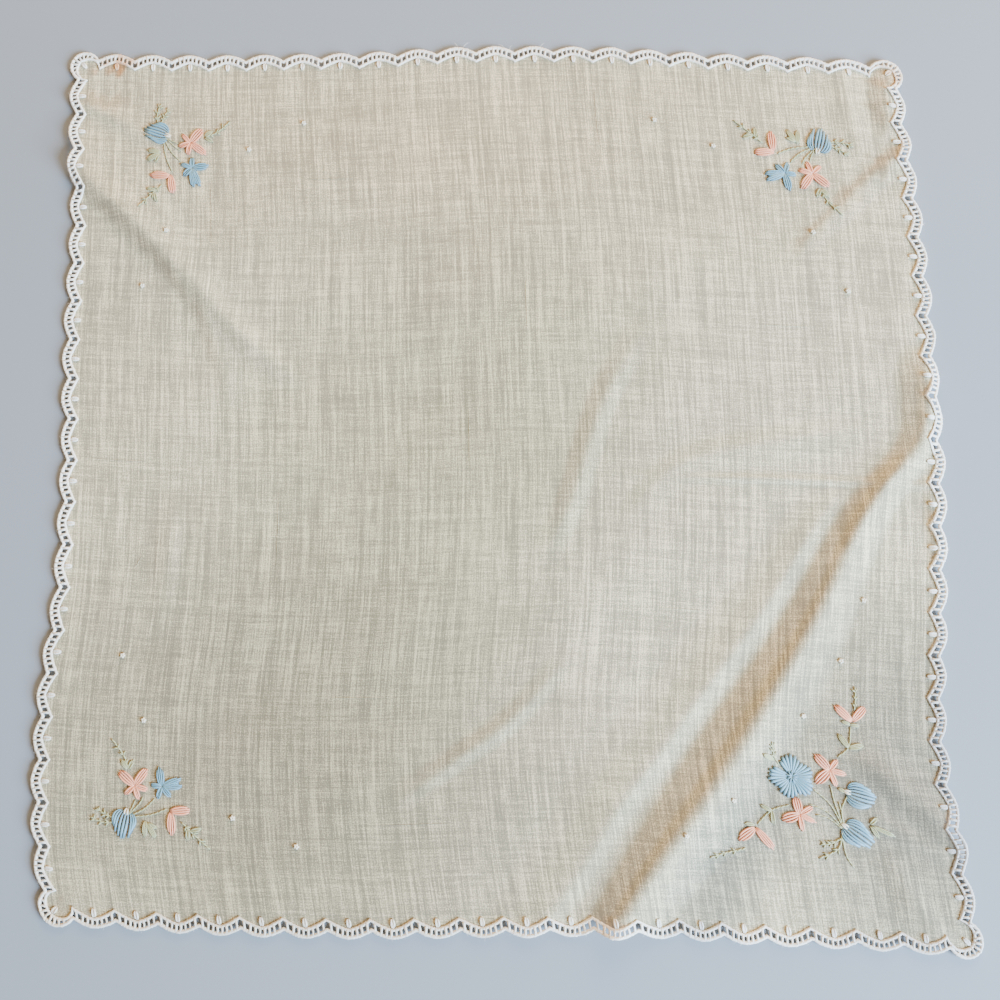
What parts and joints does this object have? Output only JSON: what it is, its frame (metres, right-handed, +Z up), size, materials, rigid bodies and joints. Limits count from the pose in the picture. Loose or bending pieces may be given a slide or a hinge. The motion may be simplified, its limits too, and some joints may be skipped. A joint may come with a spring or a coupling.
{
  "type": "handkerchief",
  "caption": "Square lawn handkerchief lying on a surface with one soft diagonal fold, a scalloped ladder edging and embroidered corner sprays.",
  "frame": {"origin": "middle of the cloth's underside, on the surface that it lies on", "axes": "+Z up, +X to the viewer's right and +Y away from the viewer, roughly along the cloth's sides"},
  "size_m": [0.2946, 0.2992, 0.0053],
  "materials": {
    "linen_lawn": "matt plain weave, slightly sheer",
    "cotton_edging": "matt warm white thread"
  },
  "bodies": {
    "root": {"cloth": "linen_lawn", "edging_bottom": "cotton_edging", "edging_right": "cotton_edging", "edging_top": "cotton_edging", "edging_left": "cotton_edging"}
  },
  "joints": []
}
